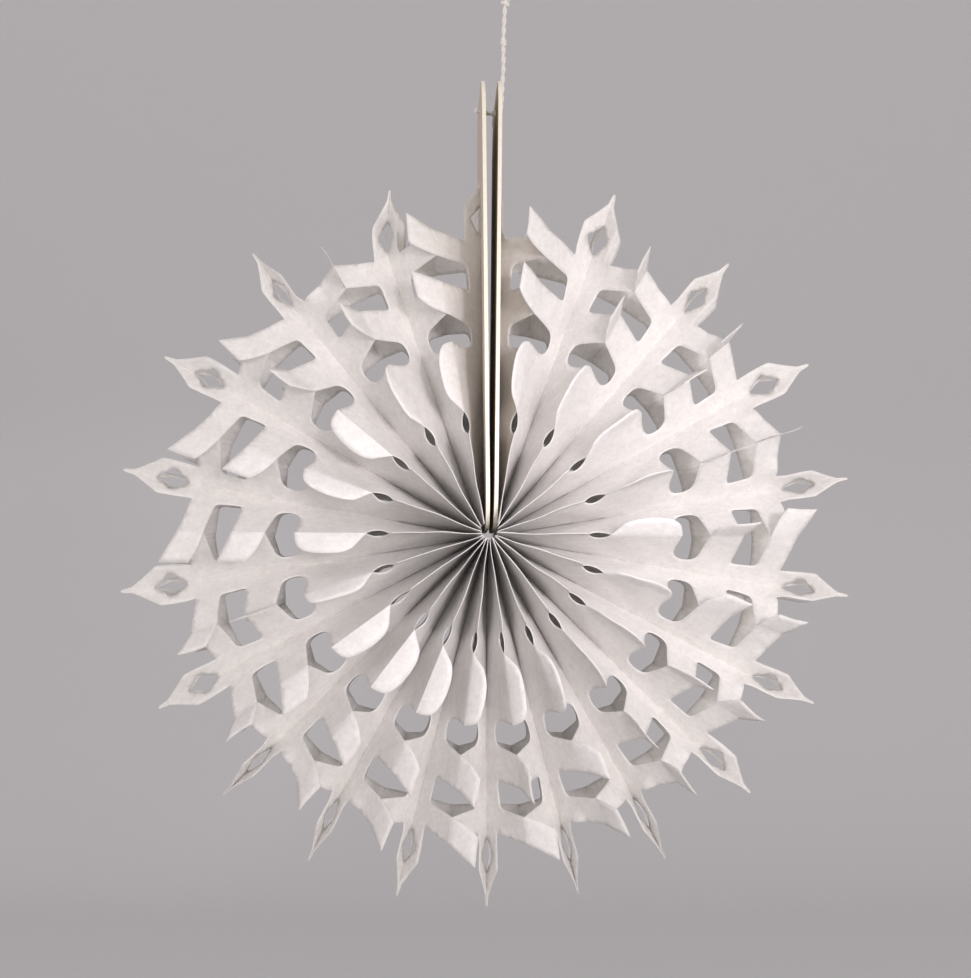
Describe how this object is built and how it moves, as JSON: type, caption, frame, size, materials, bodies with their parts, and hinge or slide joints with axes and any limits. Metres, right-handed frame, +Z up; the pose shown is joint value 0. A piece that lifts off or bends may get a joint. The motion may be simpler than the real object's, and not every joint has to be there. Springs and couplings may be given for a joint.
{
  "type": "paper fan rosette",
  "caption": "Round hanging decoration of die-cut folded paper leaves, fanned between two card end strips and hung on a cotton string with a loop.",
  "frame": {"origin": "where a hook carries the hanging loop: the inside of the loop's top", "axes": "+Z up along the string; the fan lies in the XZ plane and is seen from the front along +Y, with +X to the viewer's right"},
  "size_m": [0.3976, 0.109, 0.5215],
  "materials": {
    "paper": "matt, slightly fibrous",
    "card": "matt pressed board",
    "string": "twisted cotton"
  },
  "bodies": {
    "root": {"leaf_01": "paper", "leaf_02": "paper", "leaf_03": "paper", "leaf_04": "paper", "leaf_05": "paper", "leaf_06": "paper", "leaf_07": "paper", "leaf_08": "paper", "leaf_09": "paper", "leaf_10": "paper", "leaf_11": "paper", "leaf_12": "paper", "leaf_13": "paper", "leaf_14": "paper", "leaf_15": "paper", "leaf_16": "paper", "leaf_17": "paper", "leaf_18": "paper", "leaf_19": "paper", "leaf_20": "paper", "leaf_21": "paper", "leaf_22": "paper", "leaf_23": "paper", "leaf_24": "paper", "leaf_25": "paper", "leaf_26": "paper", "leaf_27": "paper", "leaf_28": "paper", "leaf_29": "paper", "leaf_30": "paper", "leaf_31": "paper", "leaf_32": "paper", "leaf_33": "paper", "leaf_34": "paper", "leaf_35": "paper", "leaf_36": "paper", "leaf_37": "paper", "leaf_38": "paper", "leaf_39": "paper", "leaf_40": "paper", "card_right": "card", "card_left": "card", "hang_loop": "string", "string": "string", "string_tail": "string", "loop_knot": "string", "string_knot": "string", "stop_knot": "string", "tie_knot": "string"}
  },
  "joints": []
}
